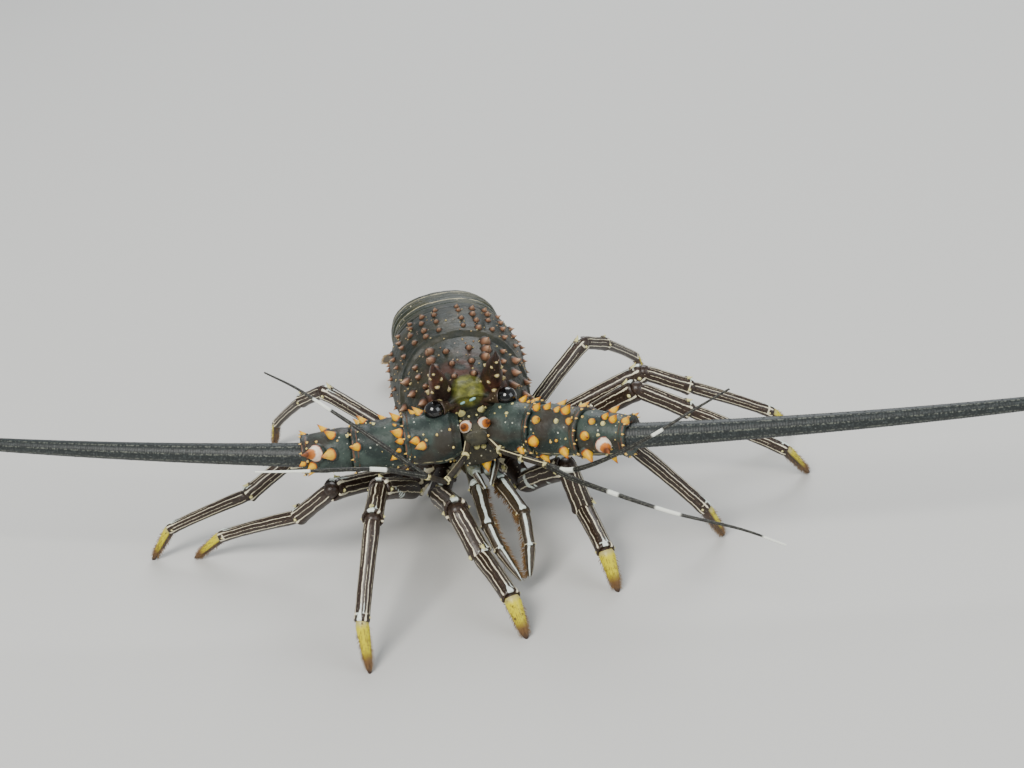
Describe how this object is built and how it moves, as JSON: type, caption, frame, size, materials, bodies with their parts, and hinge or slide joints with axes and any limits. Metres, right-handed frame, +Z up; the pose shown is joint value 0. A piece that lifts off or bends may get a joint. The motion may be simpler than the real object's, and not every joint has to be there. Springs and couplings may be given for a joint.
{
  "type": "spiny lobster model",
  "caption": "Life-size spiny lobster standing on its walking legs, with spiny antennae held out sideways to long whips, horned carapace, jointed abdomen and tail fan.",
  "frame": {"origin": "centre of the box around the whole animal, at the floor under its feet", "axes": "-Y the way the animal faces, +X its left side, +Z up; the two long antennae reach out along X"},
  "size_m": [0.9104, 0.391, 0.1234],
  "materials": {
    "shell": "satin",
    "underside": "satin",
    "antenna": "satin",
    "whip": "satin",
    "leg": "satin",
    "mouth": "satin",
    "eye": "polished",
    "abdomen": "satin",
    "fan": "satin"
  },
  "bodies": {
    "root": {"abdomen_1": "abdomen", "abdomen_2": "abdomen", "abdomen_3": "abdomen", "abdomen_4": "abdomen", "abdomen_5": "abdomen", "abdomen_6": "abdomen", "antenna_left_arm": "antenna", "antenna_left_base": "antenna", "antenna_left_whip_1": "whip", "antenna_left_whip_2": "whip", "antenna_left_whip_3": "whip", "antenna_left_wrist": "antenna", "antenna_right_arm": "antenna", "antenna_right_base": "antenna", "antenna_right_whip_1": "whip", "antenna_right_whip_2": "whip", "antenna_right_whip_3": "whip", "antenna_right_wrist": "antenna", "antennular_plate": "antenna", "antennule_left_inner": "whip", "antennule_left_outer": "whip", "antennule_left_stalk": "antenna", "antennule_right_inner": "whip", "antennule_right_outer": "whip", "antennule_right_stalk": "antenna", "carapace": "shell", "epistome": "mouth", "eye_left": "eye", "eye_right": "eye", "horn_left": "shell", "horn_right": "shell", "leg_left_1_lower": "leg", "leg_left_1_upper": "leg", "leg_left_2_lower": "leg", "leg_left_2_upper": "leg", "leg_left_3_lower": "leg", "leg_left_3_upper": "leg", "leg_left_4_lower": "leg", "leg_left_4_upper": "leg", "leg_left_5_lower": "leg", "leg_left_5_upper": "leg", "leg_right_1_lower": "leg", "leg_right_1_upper": "leg", "leg_right_2_lower": "leg", "leg_right_2_upper": "leg", "leg_right_3_lower": "leg", "leg_right_3_upper": "leg", "leg_right_4_lower": "leg", "leg_right_4_upper": "leg", "leg_right_5_lower": "leg", "leg_right_5_upper": "leg", "mouth_limb_left": "mouth", "mouth_limb_right": "mouth", "sternum": "underside", "telson": "fan", "uropod_left_inner": "fan", "uropod_left_outer": "fan", "uropod_right_inner": "fan", "uropod_right_outer": "fan"}
  },
  "joints": []
}
